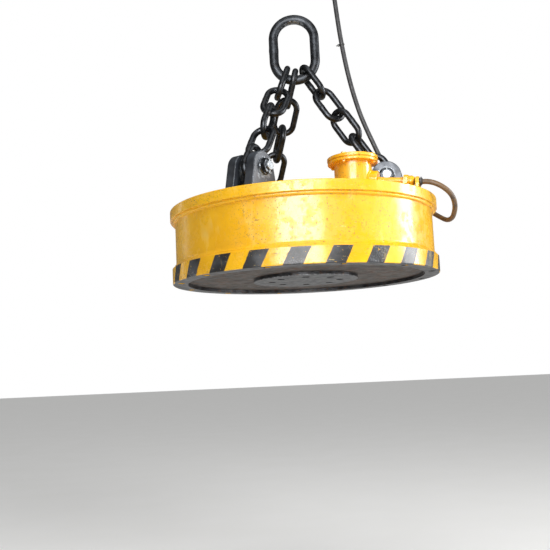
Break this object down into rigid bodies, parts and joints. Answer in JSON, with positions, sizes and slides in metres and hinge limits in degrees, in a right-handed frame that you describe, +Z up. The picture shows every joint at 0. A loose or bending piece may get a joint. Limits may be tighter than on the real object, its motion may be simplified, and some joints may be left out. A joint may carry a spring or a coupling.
{
  "type": "lifting magnet",
  "caption": "Round electromagnet hung from a master link by chain legs to pinned lugs, with a bolted terminal turret, conduit and feed cable, for lifting iron and steel.",
  "frame": {"origin": "where a crane hook bears in the master link: the top of its inner edge, on the magnet's axis", "axes": "+Z up along the magnet's axis; +X across the master link's flat face, towards the lug beside the terminal turret; +Y away from the turret, square to the master link's face"},
  "size_m": [1.1677, 1.1, 1.4097],
  "materials": {
    "forged_steel": "forged, dull black",
    "chain_steel": "blackened steel, worn",
    "lug_paint": "blue-grey paint",
    "pin_steel": "dark turned steel",
    "zinc_plate": "bright zinc plating",
    "yellow_enamel": "glossy enamel, chipped",
    "striped_enamel": "glossy enamel with black slanted bands",
    "pole_steel": "machined, worn",
    "manganese_plate": "rolled, stained",
    "coil_strip": "wound strip",
    "insulation_board": "pressed board",
    "potting": "cast resin",
    "socket_bolt": "blackened",
    "rubber_part": "moulded",
    "cable_sheath": "rubber sheath, dusty",
    "brass": "turned",
    "lead_sleeve": "sleeved",
    "tie_nylon": "moulded",
    "plug_alloy": "cast, painted grey"
  },
  "bodies": {
    "master_link": {"master_link": "forged_steel"},
    "magnet": {"lug_a": "lug_paint", "lug_b": "lug_paint", "lug_c": "lug_paint", "top_plate": "yellow_enamel", "drum_shell": "yellow_enamel", "pole_ring": "striped_enamel", "core": "pole_steel", "pole_shoe": "pole_steel", "bottom_plate": "manganese_plate", "coil_upper": "coil_strip", "coil_middle": "coil_strip", "coil_lower": "coil_strip", "coil_separators": "insulation_board", "core_sleeve": "insulation_board", "coil_potting": "potting", "shoe_bolts": "socket_bolt", "ring_bolts": "socket_bolt", "turret_body": "yellow_enamel", "lid_gasket": "yellow_enamel", "turret_lid": "yellow_enamel", "lid_bolts": "yellow_enamel", "lid_nuts": "yellow_enamel", "terminal_board": "insulation_board", "terminal_studs": "brass", "coil_leads": "lead_sleeve", "conduit": "yellow_enamel", "conduit_gland": "yellow_enamel", "rim_bracket": "yellow_enamel", "bracket_bolts": "zinc_plate", "outlet_bushing": "rubber_part", "cable": "cable_sheath", "cable_tie": "tie_nylon", "cable_grip": "rubber_part", "plug_ring": "zinc_plate", "plug_body": "plug_alloy"},
    "leg_a_1": {"leg_a_link_1": "chain_steel"},
    "leg_a_2": {"leg_a_link_2": "chain_steel"},
    "leg_a_3": {"leg_a_link_3": "chain_steel"},
    "leg_a_4": {"leg_a_link_4": "chain_steel"},
    "leg_a_5": {"leg_a_link_5": "chain_steel"},
    "pin_a": {"pin_a": "zinc_plate", "pin_nut_a": "pin_steel", "split_pin_a": "zinc_plate"},
    "leg_b_1": {"leg_b_link_1": "chain_steel"},
    "leg_b_2": {"leg_b_link_2": "chain_steel"},
    "leg_b_3": {"leg_b_link_3": "chain_steel"},
    "leg_b_4": {"leg_b_link_4": "chain_steel"},
    "leg_b_5": {"leg_b_link_5": "chain_steel"},
    "pin_b": {"pin_b": "zinc_plate", "pin_nut_b": "pin_steel", "split_pin_b": "zinc_plate"},
    "leg_c_1": {"leg_c_link_1": "chain_steel"},
    "leg_c_2": {"leg_c_link_2": "chain_steel"},
    "leg_c_3": {"leg_c_link_3": "chain_steel"},
    "leg_c_4": {"leg_c_link_4": "chain_steel"},
    "leg_c_5": {"leg_c_link_5": "chain_steel"},
    "pin_c": {"pin_c": "zinc_plate", "pin_nut_c": "pin_steel", "split_pin_c": "zinc_plate"}
  },
  "joints": [
    {"name": "sling_swing", "type": "hinge", "parent": "master_link", "child": "magnet", "pos_m": [0, 0, -0.245], "axis": [1, 0, 0], "range_deg": [-15, 15]},
    {"name": "leg_a_twist_1", "type": "hinge", "parent": "magnet", "child": "leg_a_1", "pos_m": [0.07071, -0.00101, -0.2667], "axis": [0.5365, -0.0274, -0.8435], "range_deg": [-6, 6]},
    {"name": "leg_a_twist_2", "type": "hinge", "parent": "magnet", "child": "leg_a_2", "pos_m": [0.1364, -0.00436, -0.36999], "axis": [0.5365, -0.0274, -0.8435], "range_deg": [-6, 6]},
    {"name": "leg_a_twist_3", "type": "hinge", "parent": "magnet", "child": "leg_a_3", "pos_m": [0.2021, -0.00771, -0.47328], "axis": [0.5365, -0.0274, -0.8435], "range_deg": [-6, 6]},
    {"name": "leg_a_twist_4", "type": "hinge", "parent": "magnet", "child": "leg_a_4", "pos_m": [0.2678, -0.01107, -0.57657], "axis": [0.5365, -0.0274, -0.8435], "range_deg": [-6, 6]},
    {"name": "leg_a_twist_5", "type": "hinge", "parent": "magnet", "child": "leg_a_5", "pos_m": [0.33349, -0.01442, -0.67986], "axis": [0.5365, -0.0274, -0.8435], "range_deg": [-6, 0.5]},
    {"name": "pin_a_turn", "type": "hinge", "parent": "magnet", "child": "pin_a", "pos_m": [0.35266, -0.0154, -0.71], "axis": [0.0436, 0.999, 0], "continuous": true},
    {"name": "leg_b_twist_1", "type": "hinge", "parent": "magnet", "child": "leg_b_1", "pos_m": [-0.02012, 0.02071, -0.28176], "axis": [-0.2656, 0.5436, -0.7962], "range_deg": [-6, 6]},
    {"name": "leg_b_twist_2", "type": "hinge", "parent": "magnet", "child": "leg_b_2", "pos_m": [-0.05338, 0.08877, -0.38144], "axis": [-0.2656, 0.5436, -0.7962], "range_deg": [-6, 6]},
    {"name": "leg_b_twist_3", "type": "hinge", "parent": "magnet", "child": "leg_b_3", "pos_m": [-0.08663, 0.15683, -0.48111], "axis": [-0.2656, 0.5436, -0.7962], "range_deg": [-6, 6]},
    {"name": "leg_b_twist_4", "type": "hinge", "parent": "magnet", "child": "leg_b_4", "pos_m": [-0.11989, 0.22489, -0.58079], "axis": [-0.2656, 0.5436, -0.7962], "range_deg": [-6, 6]},
    {"name": "leg_b_twist_5", "type": "hinge", "parent": "magnet", "child": "leg_b_5", "pos_m": [-0.15314, 0.29295, -0.68046], "axis": [-0.2656, 0.5436, -0.7962], "range_deg": [-6, 6]},
    {"name": "pin_b_turn", "type": "hinge", "parent": "magnet", "child": "pin_b", "pos_m": [-0.163, 0.31311, -0.71], "axis": [-0.887, -0.4617, 0], "continuous": true},
    {"name": "leg_c_twist_1", "type": "hinge", "parent": "magnet", "child": "leg_c_1", "pos_m": [-0.05737, -0.01969, -0.26899], "axis": [-0.246, -0.5169, -0.8199], "range_deg": [-6, 6]},
    {"name": "leg_c_twist_2", "type": "hinge", "parent": "magnet", "child": "leg_c_2", "pos_m": [-0.08816, -0.0844, -0.37164], "axis": [-0.246, -0.5169, -0.8199], "range_deg": [-6, 6]},
    {"name": "leg_c_twist_3", "type": "hinge", "parent": "magnet", "child": "leg_c_3", "pos_m": [-0.11896, -0.14912, -0.47429], "axis": [-0.246, -0.5169, -0.8199], "range_deg": [-6, 6]},
    {"name": "leg_c_twist_4", "type": "hinge", "parent": "magnet", "child": "leg_c_4", "pos_m": [-0.14975, -0.21383, -0.57694], "axis": [-0.246, -0.5169, -0.8199], "range_deg": [-6, 6]},
    {"name": "leg_c_twist_5", "type": "hinge", "parent": "magnet", "child": "leg_c_5", "pos_m": [-0.18054, -0.27854, -0.67958], "axis": [-0.246, -0.5169, -0.8199], "range_deg": [-6, 6]},
    {"name": "pin_c_turn", "type": "hinge", "parent": "magnet", "child": "pin_c", "pos_m": [-0.18967, -0.29772, -0.71], "axis": [0.8434, -0.5373, 0], "continuous": true}
  ]
}
